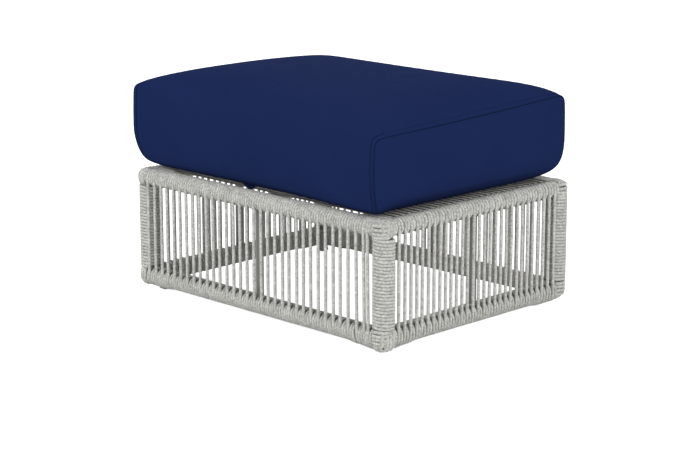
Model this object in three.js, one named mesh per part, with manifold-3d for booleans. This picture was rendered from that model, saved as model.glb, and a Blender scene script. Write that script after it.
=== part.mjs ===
// Outdoor ottoman footstool: a welded round-tube frame wound and strung with rope, and a loose cushion.
// Millimetres, +Z up. The origin is on the floor under the middle of the stool; +X is the long way.
import * as THREE from "three";
import { mergeVertices } from "three/addons/utils/BufferGeometryUtils.js";
import Module from "manifold-3d";

// Frame
const overallWidth = 720; // X, over the rope on the corner posts
const overallDepth = 550; // Y, over the rope on the corner posts
const ropeTopHeight = 262; // floor to the top of the rope on the top rails
const floorClearance = 13.5; // floor to the rope under the bottom rails
const railDiameter = 25;
const railWall = 1.5;
const postDiameter = 28;
const postWall = 1.5;
const postEndReach = 10; // how far a corner post runs past the axis of a rail
const midPostDiameter = 16;
const midPostWall = 1.2;
const deckBarDiameter = 20;
const deckBarWall = 1.5;

// Feet
const footTubeSide = 19;
const footTubeWall = 1.5;
const footTubeTop = 40.5; // floor to the top of the foot tube
const glideHeight = 6;
const glideOverhang = 1;
const glideChamfer = 1.8;
const glidePlugLength = 14;
const glideRibs = 3;
const glideRibDepth = 0.8;

// Rope
const ropeDiameter = 6.4;
const strandPitchLong = 19.88; // between upright strands of the front and back
const strandPitchShort = 16.46; // between upright strands of the two short sides
const deckDraw = 0.9635; // the deck ropes lie a little closer together than the strands they run on from
const strandEndSpace = 20; // least distance from a post axis to the first strand
const strandSink = 0.5; // how far a strand sinks into the turns on its rail
const mostTurns = 24; // of the winding on a corner post
const turnSpace = 0.9; // between neighbouring turns of a winding

// Cushion
const cushionShortOfWidth = 16; // frame width less the length between the seams of the end panels
const cushionShortOfDepth = 5; // frame depth less the cushion's depth at the end panels
const cushionEdgeHeight = 168; // underside to the corners of the end panels
const endCrown = 2; // rise of the end seam at its middle
const topCrown = 6; // rise of the top at its middle over its long edges
const midRise = 26; // rise of the long edges over the end seams
const sideWaist = 13; // how far the long faces draw in at mid length
const sideTuck = 10; // how much narrower the underside is than the top, on each long side
const endTuck = 20; // how far the lower edge of an end panel draws in
const endTuckSharpness = 6; // the higher, the closer to the end seams the lower edge draws in
const endSwell = 15; // swell of the end panels
const endSquareness = 16;
const midSquareness = 5.4;
const lowerSquareness = 5.8;
const crownFlatness = 6; // the higher, the longer the crown keeps its height along the cushion
const undersidePress = 4; // how far the underside is pressed flat
const endLift = 9; // rise of the underside at the end seams
const endLiftSharpness = 12; // the higher, the closer to the end seams the underside rises
const endPanelRing = 0.6; // size of the inner ring of points of an end panel, as a share of its seam
const coverThickness = 2;
const coreSpace = 0.5;
const zipLength = 520;
const zipWidth = 7.4;
const zipThickness = 1.3;
const zipPlace = 0.5; // share of the half depth, towards the back
const tieWidth = 24;
const tieThickness = 1.6;
const tieDrop = 14; // how far a tie hangs below the cushion
const tieOffset = -45; // X of the ties
const tieRopeSpace = 0.5;

// Fits and facets
const seatGap = 0.3; // between pieces that touch
const deckBarSpace = 0.45; // between the deck bar and the ropes over it
const railFacets = 12;
const ropeFacets = 5;
const sleeveFacets = 12;
const capSteps = 2;
const turnSteps = 8;
const turnSides = 5;

// Derived places
const railRadius = railDiameter / 2;
const postRadius = postDiameter / 2;
const ropeRadius = ropeDiameter / 2;
const sleeveRadius = railRadius + ropeDiameter;
const postX = overallWidth / 2 - postRadius - ropeDiameter;
const postY = overallDepth / 2 - postRadius - ropeDiameter;
const topRailZ = ropeTopHeight - sleeveRadius;
const bottomRailZ = floorClearance + sleeveRadius;
const strandOffset = sleeveRadius - ropeRadius - strandSink; // from a rail axis to a strand axis
const deckRopeZ = topRailZ + strandOffset;
const deckBarZ = deckRopeZ - ropeRadius - deckBarSpace - deckBarDiameter / 2;
const footInset = railRadius + seatGap + footTubeSide / 2; // from the rail axes to a foot axis
const strandsEachWayLong = Math.floor((postX - strandEndSpace) / strandPitchLong);
const strandsEachWayShort = Math.floor((postY - strandEndSpace) / strandPitchShort);
const deckPitch = strandPitchShort * deckDraw;
const cushionBase = ropeTopHeight + seatGap;
const cushionLength = overallWidth - cushionShortOfWidth;
const cushionDepth = overallDepth - cushionShortOfDepth;

const ropeMaterial = new THREE.MeshStandardMaterial({ color: 0xc8c8c2, roughness: 0.85 });
const tubeMaterial = new THREE.MeshStandardMaterial({ color: 0x9b9c98, roughness: 0.5, metalness: 0.3 });
const glideMaterial = new THREE.MeshStandardMaterial({ color: 0x8d8e8b, roughness: 0.6 });
const coverMaterial = new THREE.MeshStandardMaterial({ color: 0x1e2b52, roughness: 0.9 });
const zipMaterial = new THREE.MeshStandardMaterial({ color: 0x141c38, roughness: 0.6 });
const foamMaterial = new THREE.MeshStandardMaterial({ color: 0xe6dfca, roughness: 1 });

const wasm = await Module();
wasm.setup();

// A closed geometry as a solid that can be joined and cut.
function solid(geometry) {
  const bare = geometry.clone();
  bare.deleteAttribute("normal");
  bare.deleteAttribute("uv");
  const merged = mergeVertices(bare, 1e-4);
  return new wasm.Manifold(
    new wasm.Mesh({
      numProp: 3,
      vertProperties: new Float32Array(merged.attributes.position.array),
      triVerts: new Uint32Array(merged.index.array),
    }),
  );
}

// A solid back as a geometry with flat facets.
function geometryOf(body) {
  const mesh = body.getMesh();
  const geometry = new THREE.BufferGeometry();
  geometry.setAttribute("position", new THREE.BufferAttribute(mesh.vertProperties, 3));
  geometry.setIndex(new THREE.BufferAttribute(mesh.triVerts, 1));
  const flat = geometry.toNonIndexed();
  flat.computeVertexNormals();
  return flat;
}

function named(name, body, material) {
  const mesh = new THREE.Mesh(body.isBufferGeometry ? body : geometryOf(body), material);
  mesh.name = name;
  return mesh;
}

// A round bar of the given length, centred, lying along X, Y or Z.
function roundBar(axis, radius, length, facets) {
  const geometry = new THREE.CylinderGeometry(radius, radius, length, facets);
  if (axis === "x") geometry.rotateZ(Math.PI / 2);
  if (axis === "z") geometry.rotateX(Math.PI / 2);
  return geometry;
}

function roundTube(axis, radius, wall, length, facets) {
  const bore = roundBar(axis, radius - wall, length + 2 * wall, facets);
  return solid(roundBar(axis, radius, length, facets)).subtract(solid(bore));
}

function block(sizeX, sizeY, sizeZ, x, y, z) {
  return solid(new THREE.BoxGeometry(sizeX, sizeY, sizeZ).translate(x, y, z));
}

function joined(bodies) {
  return bodies.reduce((all, body) => all.add(body));
}

// Frame pieces, each in its own local frame

// A rail along X whose ends are coped round the corner posts and, on the short sides, also round
// the long rails that they meet there.
function railBody(halfSpan, meetsLongRails) {
  const tube = roundTube("x", railRadius, railWall, 2 * halfSpan, railFacets);
  const cutters = [roundBar("z", postRadius + seatGap, 2 * postDiameter, sleeveFacets)];
  if (meetsLongRails) cutters.push(roundBar("y", railRadius + seatGap, 2 * postDiameter, railFacets));
  const ends = [-halfSpan, halfSpan];
  const cuts = ends.flatMap((x) => cutters.map((cutter) => solid(cutter.clone().translate(x, 0, 0))));
  return cuts.reduce((rail, cut) => rail.subtract(cut), tube);
}

// A corner post, from under the bottom rails to over the top rails.
function cornerPostBody() {
  const length = topRailZ - bottomRailZ + 2 * postEndReach;
  return roundTube("z", postRadius, postWall, length, sleeveFacets);
}

// A mid post coped between the rails over and under it, which lie along X.
function midPostBody() {
  const span = topRailZ - bottomRailZ;
  const tube = roundTube("z", midPostDiameter / 2, midPostWall, span, railFacets);
  const rail = roundBar("x", railRadius + seatGap, 2 * railDiameter, railFacets);
  const rails = [-span / 2, span / 2].map((z) => solid(rail.clone().translate(0, 0, z)));
  return rails.reduce((post, cut) => post.subtract(cut), tube);
}

// The bar along Y under the middle of the deck, coped between the long top rails.
function deckBarBody() {
  const tube = roundTube("y", deckBarDiameter / 2, deckBarWall, 2 * postY, railFacets);
  const rail = roundBar("x", railRadius + seatGap, 2 * deckBarDiameter, railFacets);
  const rails = [-postY, postY].map((y) => solid(rail.clone().translate(0, y, topRailZ - deckBarZ)));
  return rails.reduce((bar, cut) => bar.subtract(cut), tube);
}

// The square tube that stands on a glide, in the inner corner of two bottom rails.
function footTubeBody() {
  const bottom = glideHeight + seatGap;
  const height = footTubeTop - bottom;
  const bore = footTubeSide - 2 * footTubeWall;
  const middle = bottom + height / 2;
  const outer = block(footTubeSide, footTubeSide, height, 0, 0, middle);
  return outer.subtract(block(bore, bore, height + 2 * footTubeWall, 0, 0, middle));
}

// A foot glide: a pad with chamfered lower edges and a ribbed plug that fills the foot tube.
function glideBody() {
  const half = footTubeSide / 2 + glideOverhang;
  const pad = new THREE.Shape();
  pad.moveTo(-half + glideChamfer, -half);
  pad.lineTo(half - glideChamfer, -half);
  pad.lineTo(half, -half + glideChamfer);
  pad.lineTo(half, half - glideChamfer);
  pad.lineTo(half - glideChamfer, half);
  pad.lineTo(-half + glideChamfer, half);
  pad.lineTo(-half, half - glideChamfer);
  pad.lineTo(-half, -half + glideChamfer);
  const straight = glideHeight - glideChamfer;
  const slab = new THREE.ExtrudeGeometry(pad, {
    depth: straight - glideChamfer / 2,
    bevelEnabled: true,
    bevelSegments: 1,
    bevelThickness: glideChamfer / 2,
    bevelSize: glideChamfer / 2,
    bevelOffset: -glideChamfer / 2,
  });
  const lowered = solid(slab.translate(0, 0, glideChamfer / 2));
  const plugSide = footTubeSide - 2 * footTubeWall - 2 * seatGap;
  const stemSide = plugSide - 2 * glideRibDepth;
  const stemLength = glideHeight - straight + glidePlugLength;
  const stem = block(stemSide, stemSide, stemLength, 0, 0, straight + stemLength / 2);
  const ribPitch = glidePlugLength / glideRibs;
  const ribHeight = ribPitch / 2;
  const ribs = Array.from({ length: glideRibs }, (_, i) =>
    block(plugSide, plugSide, ribHeight, 0, 0, glideHeight + ribPitch * (i + 1) - ribHeight),
  );
  return joined([lowered, stem, ...ribs]);
}

// Rope

// A closed tube of straight facets along points, with a flat cap at each end. One corner of its
// section stays turned towards the Z axis.
function ropeTube(points, radius, sides) {
  const positions = [];
  const index = [];
  points.forEach((point, i) => {
    const before = points[Math.max(i - 1, 0)];
    const after = points[Math.min(i + 1, points.length - 1)];
    const along = after.clone().sub(before).normalize();
    const inward = new THREE.Vector3(-point.x, -point.y, 0).normalize();
    inward.addScaledVector(along, -inward.dot(along)).normalize();
    const upward = new THREE.Vector3().crossVectors(along, inward);
    for (let side = 0; side < sides; side++) {
      const turn = (side / sides) * 2 * Math.PI;
      const corner = point.clone();
      corner.addScaledVector(inward, radius * Math.cos(turn));
      corner.addScaledVector(upward, radius * Math.sin(turn));
      positions.push(corner.x, corner.y, corner.z);
    }
  });
  for (let ring = 0; ring < points.length - 1; ring++)
    for (let side = 0; side < sides; side++) {
      const next = (side + 1) % sides;
      const a = ring * sides + side;
      const b = ring * sides + next;
      index.push(a, b, b + sides, a, b + sides, a + sides);
    }
  const last = (points.length - 1) * sides;
  for (let side = 1; side < sides - 1; side++) {
    index.push(0, side + 1, side);
    index.push(last, last + side, last + side + 1);
  }
  const geometry = new THREE.BufferGeometry();
  geometry.setAttribute("position", new THREE.Float32BufferAttribute(positions, 3));
  geometry.setIndex(index);
  return geometry;
}

// The route of the rope wound round a corner post between the rails: one unbroken spiral, with a
// straight run of one rope diameter at each end. The facets lie outside the post.
function windingRoute() {
  const low = bottomRailZ + sleeveRadius + seatGap + ropeRadius;
  const high = topRailZ - sleeveRadius - seatGap - ropeRadius;
  const turns = Math.min(mostTurns, Math.floor((high - low) / (ropeDiameter + turnSpace)));
  const radius = (postRadius + seatGap + ropeRadius) / Math.cos(Math.PI / turnSteps);
  const steps = turns * turnSteps;
  const route = [];
  for (let i = 0; i <= steps; i++) {
    const angle = (i / turnSteps) * 2 * Math.PI;
    const z = low + ((high - low) * i) / steps;
    route.push(new THREE.Vector3(radius * Math.cos(angle), radius * Math.sin(angle), z));
  }
  const entry = new THREE.Vector3(route[0].x, route[0].y - ropeDiameter, low);
  const exit = new THREE.Vector3(route[steps].x, route[steps].y + ropeDiameter, high);
  return [entry, ...route, exit];
}

// Least distance between the surfaces of turns that lie next to each other, sampled along the route.
function leastTurnGap(route) {
  let least = Infinity;
  for (let i = 0; i < route.length; i++)
    for (let j = i + turnSteps / 2 + 1; j < Math.min(i + 2 * turnSteps, route.length); j++)
      least = Math.min(least, route[i].distanceTo(route[j]) - ropeDiameter);
  return least;
}

// The turns on a short rail seen as one sleeve: a bar along Y whose round ends close the corners.
function roundEndedSleeve(radius) {
  const outline = [new THREE.Vector2(0, -postY - radius)];
  for (let i = 1; i <= capSteps; i++) {
    const angle = (i / capSteps) * (Math.PI / 2);
    outline.push(new THREE.Vector2(radius * Math.sin(angle), -postY - radius * Math.cos(angle)));
  }
  for (let i = 0; i < capSteps; i++) {
    const angle = (i / capSteps) * (Math.PI / 2);
    outline.push(new THREE.Vector2(radius * Math.cos(angle), postY + radius * Math.sin(angle)));
  }
  outline.push(new THREE.Vector2(0, postY + radius));
  return new THREE.LatheGeometry(outline, sleeveFacets);
}

// Every tube of the frame, a seat gap larger than it is, for hollowing and notching the rope.
function frameEnvelope() {
  const parts = [];
  for (const z of [bottomRailZ, topRailZ]) {
    for (const side of [-1, 1]) {
      const long = roundBar("x", railRadius + seatGap, 2 * postX, railFacets);
      const short = roundBar("y", railRadius + seatGap, 2 * postY, railFacets);
      parts.push(solid(long.translate(0, side * postY, z)));
      parts.push(solid(short.translate(side * postX, 0, z)));
    }
  }
  const postLength = topRailZ - bottomRailZ + 2 * (postEndReach + seatGap);
  const middle = (topRailZ + bottomRailZ) / 2;
  for (const x of [-postX, postX])
    for (const y of [-postY, postY]) {
      const post = roundBar("z", postRadius + seatGap, postLength, sleeveFacets);
      parts.push(solid(post.translate(x, y, middle)));
      const side = footTubeSide + 2 * seatGap;
      const footX = x - Math.sign(x) * footInset;
      const footY = y - Math.sign(y) * footInset;
      parts.push(block(side, side, footTubeTop + seatGap, footX, footY, (footTubeTop + seatGap) / 2));
    }
  const span = topRailZ - bottomRailZ;
  const places = [
    [0, -postY],
    [0, postY],
    [-postX, 0],
    [postX, 0],
  ];
  for (const [x, y] of places) {
    const midPost = roundBar("z", midPostDiameter / 2 + seatGap, span, railFacets);
    parts.push(solid(midPost.translate(x, y, middle)));
  }
  const bar = roundBar("y", deckBarDiameter / 2 + seatGap, 2 * postY, railFacets);
  parts.push(solid(bar.translate(0, 0, deckBarZ)));
  return joined(parts);
}

const envelope = frameEnvelope();

// The turns on a long rail seen as one sleeve between the short sleeves.
function longSleeve(y, z) {
  const sleeve = roundBar("x", sleeveRadius, 2 * postX, sleeveFacets).translate(0, y, z);
  const short = roundEndedSleeve(sleeveRadius + seatGap);
  const left = solid(short.clone().translate(-postX, 0, z));
  const right = solid(short.clone().translate(postX, 0, z));
  return solid(sleeve).subtract(left).subtract(right);
}

function strand(x, y) {
  const height = topRailZ - bottomRailZ;
  const geometry = roundBar("z", ropeRadius, height, ropeFacets);
  return solid(geometry.translate(x, y, bottomRailZ + height / 2));
}

// The upright strands of the front or back, side -1 or 1, run out of the turns on the bottom rail
// and end against the turns on the top rail.
function longPanelBody(side) {
  const strands = [];
  for (let i = -strandsEachWayLong; i <= strandsEachWayLong; i++)
    strands.push(strand(i * strandPitchLong, side * (postY + strandOffset)));
  const topTurns = roundBar("x", sleeveRadius + seatGap, 2 * overallWidth, sleeveFacets);
  return joined([longSleeve(side * postY, bottomRailZ), ...strands])
    .subtract(solid(topTurns.translate(0, side * postY, topRailZ)))
    .subtract(envelope);
}

// The same for the left or right side, side -1 or 1.
function shortPanelBody(side) {
  const strands = [];
  for (let i = -strandsEachWayShort; i <= strandsEachWayShort; i++)
    strands.push(strand(side * (postX + strandOffset), i * strandPitchShort));
  const bottomTurns = solid(roundEndedSleeve(sleeveRadius).translate(side * postX, 0, bottomRailZ));
  const topTurns = roundEndedSleeve(sleeveRadius + seatGap).translate(side * postX, 0, topRailZ);
  return joined([bottomTurns, ...strands]).subtract(solid(topTurns)).subtract(envelope);
}

// The deck: ropes along X from the turns on one short top rail to those on the other.
function deckBody() {
  const pieces = [-1, 1].map((side) =>
    solid(roundEndedSleeve(sleeveRadius).translate(side * postX, 0, topRailZ)),
  );
  for (let i = -strandsEachWayShort; i <= strandsEachWayShort; i++) {
    const rope = roundBar("x", ropeRadius, 2 * postX, ropeFacets);
    pieces.push(solid(rope.translate(0, i * deckPitch, deckRopeZ)));
  }
  return joined(pieces).subtract(envelope);
}

// Cushion

// A point of the cushion's skin, drawn in by inset: along runs from -1 to 1 between the end seams,
// and turn goes round the section from the back, over the top.
function skinPoint(along, turn, inset) {
  const middle = 1 - along ** crownFlatness;
  const upper = Math.sin(turn) >= 0;
  const squareness = upper ? endSquareness + (midSquareness - endSquareness) * middle : lowerSquareness;
  const cosine = Math.abs(Math.cos(turn));
  const sine = Math.abs(Math.sin(turn));
  const reach = (cosine ** squareness + sine ** squareness) ** (-1 / squareness);
  const across = reach * cosine;
  const rise = reach * sine;
  const lowness = upper ? 0 : rise ** 2;
  const waist = sideWaist * (1 - along ** 2) + sideTuck * lowness;
  const y = Math.sign(Math.cos(turn)) * (cushionDepth / 2 - inset - waist) * across;
  const halfHeight = cushionEdgeHeight / 2 - inset;
  const crown = (endCrown + (topCrown - endCrown) * middle) * (1 - across ** 2);
  const over = (halfHeight + midRise * middle) * rise + crown * rise ** 2;
  const under = -Math.min(halfHeight, (halfHeight + undersidePress) * rise);
  const lift = endLift * along ** endLiftSharpness * rise;
  const z = cushionBase + cushionEdgeHeight / 2 + (upper ? over : under + lift);
  const tuck = endTuck * Math.abs(along) ** endTuckSharpness * lowness;
  return new THREE.Vector3(along * (cushionLength / 2 - inset) - Math.sign(along) * tuck, y, z);
}

// The closed skin through rings of points at the given stations, with a swollen panel on each end.
function skinGeometry(stations, pointsAround, inset) {
  const positions = [];
  const index = [];
  const rings = [];
  function addRing(points) {
    rings.push(positions.length / 3);
    for (const point of points) positions.push(point.x, point.y, point.z);
  }
  function section(along) {
    return Array.from({ length: pointsAround }, (_, i) =>
      skinPoint(along, (i / pointsAround) * 2 * Math.PI, inset),
    );
  }
  function endRing(along) {
    const edge = section(along);
    const middle = new THREE.Vector3(edge[0].x, 0, cushionBase + cushionEdgeHeight / 2);
    const swell = new THREE.Vector3(Math.sign(along) * endSwell * (1 - endPanelRing ** 2), 0, 0);
    return edge.map((point) => point.lerp(middle, 1 - endPanelRing).add(swell));
  }
  addRing(endRing(stations[0]));
  for (const along of stations) addRing(section(along));
  addRing(endRing(stations.at(-1)));
  for (let ring = 0; ring < rings.length - 1; ring++)
    for (let i = 0; i < pointsAround; i++) {
      const next = (i + 1) % pointsAround;
      const a = rings[ring] + i;
      const b = rings[ring] + next;
      const c = rings[ring + 1] + i;
      const d = rings[ring + 1] + next;
      index.push(a, d, c, a, b, d);
    }
  for (const [along, ring, outwards] of [
    [stations[0], rings[0], 1],
    [stations.at(-1), rings.at(-1), -1],
  ]) {
    const centre = positions.length / 3;
    const swell = Math.sign(along) * endSwell;
    const x = along * (cushionLength / 2 - inset) + swell;
    positions.push(x, 0, cushionBase + cushionEdgeHeight / 2);
    for (let i = 0; i < pointsAround; i++) {
      const next = (i + 1) % pointsAround;
      if (outwards > 0) index.push(centre, ring + next, ring + i);
      else index.push(centre, ring + i, ring + next);
    }
  }
  const geometry = new THREE.BufferGeometry();
  geometry.setAttribute("position", new THREE.Float32BufferAttribute(positions, 3));
  geometry.setIndex(index);
  return geometry;
}

const cushionStations = [-1, -0.96, -0.85, -0.6, -0.2, 0.2, 0.6, 0.85, 0.96, 1];
const coverPoints = 24;
const corePoints = 12;
const zipY = (zipPlace * cushionDepth) / 2;

// The cover is a shell round the foam, open along the zip.
function coverBody() {
  const outer = solid(skinGeometry(cushionStations, coverPoints, 0));
  const inner = solid(skinGeometry(cushionStations, coverPoints, coverThickness));
  const slitWidth = zipWidth + 2 * seatGap;
  const slit = block(zipLength, slitWidth, 2 * coverThickness, 0, zipY, cushionBase + coverThickness / 2);
  return outer.subtract(inner).subtract(slit);
}

function coreBody() {
  return solid(skinGeometry(cushionStations, corePoints, coverThickness + coreSpace));
}

function zipBody() {
  const z = cushionBase + coverThickness / 2;
  return block(zipLength - 2 * seatGap, zipWidth, zipThickness, 0, zipY, z);
}

// A webbing tie sewn under the front or back edge, hanging beside the outermost deck rope.
function tieBody(side) {
  const firstRope = strandsEachWayShort * deckPitch;
  const y = side * (firstRope + ropeRadius + tieRopeSpace + tieThickness / 2);
  const height = tieDrop + cushionEdgeHeight / 2;
  const z = cushionBase - tieDrop + height / 2;
  const skin = solid(skinGeometry(cushionStations, coverPoints, 0).translate(0, 0, -seatGap));
  return block(tieWidth, tieThickness, height, tieOffset, y, z).subtract(skin);
}

// The stool
const stool = new THREE.Group();
const frame = new THREE.Group();
const feet = new THREE.Group();
const rope = new THREE.Group();
const cushion = new THREE.Group();
stool.add(frame, feet, rope, cushion);

const sides = [
  { name: "front", x: 0, y: -postY, turn: 0, halfSpan: postX, short: false },
  { name: "back", x: 0, y: postY, turn: 0, halfSpan: postX, short: false },
  { name: "left", x: -postX, y: 0, turn: Math.PI / 2, halfSpan: postY, short: true },
  { name: "right", x: postX, y: 0, turn: Math.PI / 2, halfSpan: postY, short: true },
];
const corners = [
  { name: "front_left", x: -postX, y: -postY },
  { name: "front_right", x: postX, y: -postY },
  { name: "back_left", x: -postX, y: postY },
  { name: "back_right", x: postX, y: postY },
];

for (const side of sides) {
  const rail = geometryOf(railBody(side.halfSpan, side.short));
  for (const [level, z] of [
    ["top", topRailZ],
    ["bottom", bottomRailZ],
  ]) {
    const mesh = named(level + "_rail_" + side.name, rail.clone(), tubeMaterial);
    mesh.position.set(side.x, side.y, z);
    mesh.rotation.z = side.turn;
    frame.add(mesh);
  }
  const midPost = named("mid_post_" + side.name, midPostBody(), tubeMaterial);
  midPost.position.set(side.x, side.y, (topRailZ + bottomRailZ) / 2);
  midPost.rotation.z = side.turn;
  frame.add(midPost);
}

const deckBar = named("deck_bar", deckBarBody(), tubeMaterial);
deckBar.position.z = deckBarZ;
frame.add(deckBar);

const route = windingRoute();
const turnGap = leastTurnGap(route);
console.log("least gap between turns of a corner winding: " + turnGap.toFixed(2) + " mm");
const winding = ropeTube(route, ropeRadius, turnSides);

for (const corner of corners) {
  const inwardX = -Math.sign(corner.x);
  const inwardY = -Math.sign(corner.y);
  const post = named("corner_post_" + corner.name, cornerPostBody(), tubeMaterial);
  post.position.set(corner.x, corner.y, (topRailZ + bottomRailZ) / 2);
  frame.add(post);

  const turns = named("rope_winding_" + corner.name, winding.clone(), ropeMaterial);
  turns.position.set(corner.x, corner.y, 0);
  turns.rotation.z = Math.atan2(inwardY, inwardX);
  rope.add(turns);

  const foot = new THREE.Group();
  foot.position.set(corner.x + inwardX * footInset, corner.y + inwardY * footInset, 0);
  foot.add(named("foot_tube_" + corner.name, footTubeBody(), tubeMaterial));
  foot.add(named("foot_glide_" + corner.name, glideBody(), glideMaterial));
  feet.add(foot);
}

rope.add(named("rope_panel_front", longPanelBody(-1), ropeMaterial));
rope.add(named("rope_panel_back", longPanelBody(1), ropeMaterial));
rope.add(named("rope_panel_left", shortPanelBody(-1), ropeMaterial));
rope.add(named("rope_panel_right", shortPanelBody(1), ropeMaterial));
rope.add(named("rope_top_turns_front", longSleeve(-postY, topRailZ).subtract(envelope), ropeMaterial));
rope.add(named("rope_top_turns_back", longSleeve(postY, topRailZ).subtract(envelope), ropeMaterial));
rope.add(named("rope_deck", deckBody(), ropeMaterial));

cushion.add(named("cushion_cover", coverBody(), coverMaterial));
cushion.add(named("cushion_core", coreBody(), foamMaterial));
cushion.add(named("cushion_zip", zipBody(), zipMaterial));
cushion.add(named("cushion_tie_front", tieBody(-1), coverMaterial));
cushion.add(named("cushion_tie_back", tieBody(1), coverMaterial));

export default stool;
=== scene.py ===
"""Outdoor ottoman footstool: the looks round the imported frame. Metres, +Z up."""

import math
import random

import bpy
import numpy as np
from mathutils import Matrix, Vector


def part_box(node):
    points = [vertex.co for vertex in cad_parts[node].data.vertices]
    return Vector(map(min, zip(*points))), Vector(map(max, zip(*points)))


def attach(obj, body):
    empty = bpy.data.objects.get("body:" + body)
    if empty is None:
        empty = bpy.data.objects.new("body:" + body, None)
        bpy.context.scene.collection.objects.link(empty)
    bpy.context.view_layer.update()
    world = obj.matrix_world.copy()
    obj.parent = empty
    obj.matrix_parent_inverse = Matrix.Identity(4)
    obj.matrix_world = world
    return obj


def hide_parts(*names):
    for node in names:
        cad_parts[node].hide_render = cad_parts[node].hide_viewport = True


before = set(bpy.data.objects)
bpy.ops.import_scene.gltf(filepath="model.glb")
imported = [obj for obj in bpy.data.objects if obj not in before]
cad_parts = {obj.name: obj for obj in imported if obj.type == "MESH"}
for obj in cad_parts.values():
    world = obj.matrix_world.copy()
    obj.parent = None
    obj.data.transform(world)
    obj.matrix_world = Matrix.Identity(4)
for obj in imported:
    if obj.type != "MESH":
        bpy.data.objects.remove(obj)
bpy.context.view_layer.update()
rng = random.Random(7)

# Sizes

ROPE = 0.0064
ROPE_R = ROPE / 2

post_low, post_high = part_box("corner_post_front_right")
POST_X = (post_low.x + post_high.x) / 2
POST_Y = -(post_low.y + post_high.y) / 2
top_low, top_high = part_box("top_rail_front")
TOP_Z = (top_low.z + top_high.z) / 2
RAIL_R = (top_high.z - top_low.z) / 2
bottom_low, bottom_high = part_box("bottom_rail_front")
BOTTOM_Z = (bottom_low.z + bottom_high.z) / 2
TURN_R = RAIL_R + ROPE_R

LONG_PITCH = 0.02024
SHORT_PITCH = 0.01624
DECK_PITCH = 0.01586  # the deck ropes are drawn together towards their middle
LONG_EACH_WAY = 16
SHORT_EACH_WAY = 14
LONG_STEP = 0.0066  # from one turn on a rail to the next
SHORT_STEP = 0.0082
LAST_STRAND = 0.3138  # the last strand of a long side is pushed up to the one before it
FIRST_STRAND = -LAST_STRAND - 0.0094
END_LEAN = 0.0034  # of the last three strands of a long side
POST_PITCH = 0.0067
TURN_PAINTED_SHADE = 0.2  # painted shade between neighbouring turns
LONG_TURN = {"width": 0.0068, "thickness": 0.0063}  # of the rope where it lies round a long rail
SHORT_TURN = {"width": 0.0080, "thickness": 0.0061}
LEVEL_TURN = {"width": 0.0072, "thickness": 0.0062}
WINDING = {"width": 0.0066, "thickness": 0.0068}
HANG_BY_POST, HANG_IN_CORNER = 0.0030, 0.0026  # added to how far the turns on a bottom rail hang
DECK_SAG = 0.0008
# Painted shade on the deck ropes, darkest of all, where they lie side by side under the cushion.
DECK_PAINTED_SHADE = 0.95
TURN_SINK, TURN_PULL = 0.0014, 0.0036  # of the turns between the deck ropes, down and in width
STRAND_SCATTER = 0.0007  # most by which chance shifts or leans a strand
TURN_FROM, TURN_TO = -200, 150  # degrees that a single turn on a rail covers, 0 outwards


# Camera, floor and light

CAMERA_PLACE = (2.955, -2.986, 1.1535)
CAMERA_TILT = 13.64  # degrees down from level
CAMERA_HEADING = 0.780  # radians
CAMERA_LENS = 107.1  # mm, on a sensor 36 mm wide
LIGHT_AIM = (0, 0, 0.25)
LIGHT_SIZE = 2.6
WORLD_LIGHT = 0.66  # strength on the object; the background that is seen has strength 1
FLOOR_REACH = 20


def new_object(name, data):
    thing = bpy.data.objects.new(name, data)
    bpy.context.scene.collection.objects.link(thing)
    return thing


def mesh_object(name, points, faces):
    mesh = bpy.data.meshes.new(name)
    mesh.from_pydata(np.asarray(points).tolist(), [], faces)
    return new_object(name, mesh)


def add_camera():
    camera = new_object("camera", bpy.data.cameras.new("camera"))
    camera.location = CAMERA_PLACE
    camera.rotation_euler = (math.radians(90 - CAMERA_TILT), 0, CAMERA_HEADING)
    camera.data.sensor_width = 36
    camera.data.lens = CAMERA_LENS
    camera.data.clip_end = 60
    bpy.context.scene.camera = camera


def area_light(name, place, power):
    light = new_object(name, bpy.data.lights.new(name, "AREA"))
    light.data.shape = "DISK"
    light.data.size = LIGHT_SIZE
    light.data.energy = power
    light.location = place
    light.rotation_euler = (Vector(LIGHT_AIM) - Vector(place)).to_track_quat("-Z", "Y").to_euler()


class Nodes:
    """Small helper that builds a node tree."""

    def __init__(self, tree):
        self.tree = tree

    def feed(self, socket, value):
        """Links another node's socket to this one, or sets a plain value on it."""
        if isinstance(value, bpy.types.NodeSocket):
            self.tree.links.new(value, socket)
        else:
            socket.default_value = value

    def new(self, kind, inputs=None, **settings):
        node = self.tree.nodes.new(kind)
        for key, value in settings.items():
            setattr(node, key, value)
        for key, value in (inputs or {}).items():
            self.feed(node.inputs[key], value)
        return node

    def math(self, operation, *values):
        return self.new("ShaderNodeMath", dict(enumerate(values)), operation=operation).outputs[0]

    def plus(self, first, second):
        return self.math("ADD", first, second)

    def times(self, first, second):
        return self.math("MULTIPLY", first, second)

    def mix(self, factor, first, second):
        return self.new("ShaderNodeMix", {0: factor, 6: first, 7: second}, data_type="RGBA").outputs[2]

    def position(self):
        return self.new("ShaderNodeNewGeometry").outputs["Position"]

    def noise(self, position, scale, detail):
        inputs = {"Vector": position, "Scale": scale, "Detail": detail}
        return self.new("ShaderNodeTexNoise", inputs).outputs[0]

    def seen(self):
        """1 for rays of the camera and of reflections, for which floor and background are white."""
        path = self.new("ShaderNodeLightPath")
        return self.math("MAXIMUM", path.outputs["Is Camera Ray"], path.outputs["Is Glossy Ray"])


def empty_nodes(owner):
    """A helper for the emptied node tree of a material or world."""
    owner.use_nodes = True
    owner.node_tree.nodes.clear()
    return Nodes(owner.node_tree)


def new_material(name):
    material = bpy.data.materials.new(name)
    nodes = empty_nodes(material)
    shader = nodes.new("ShaderNodeBsdfPrincipled")
    nodes.new("ShaderNodeOutputMaterial", {0: shader.outputs[0]})
    return material, nodes, shader


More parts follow.
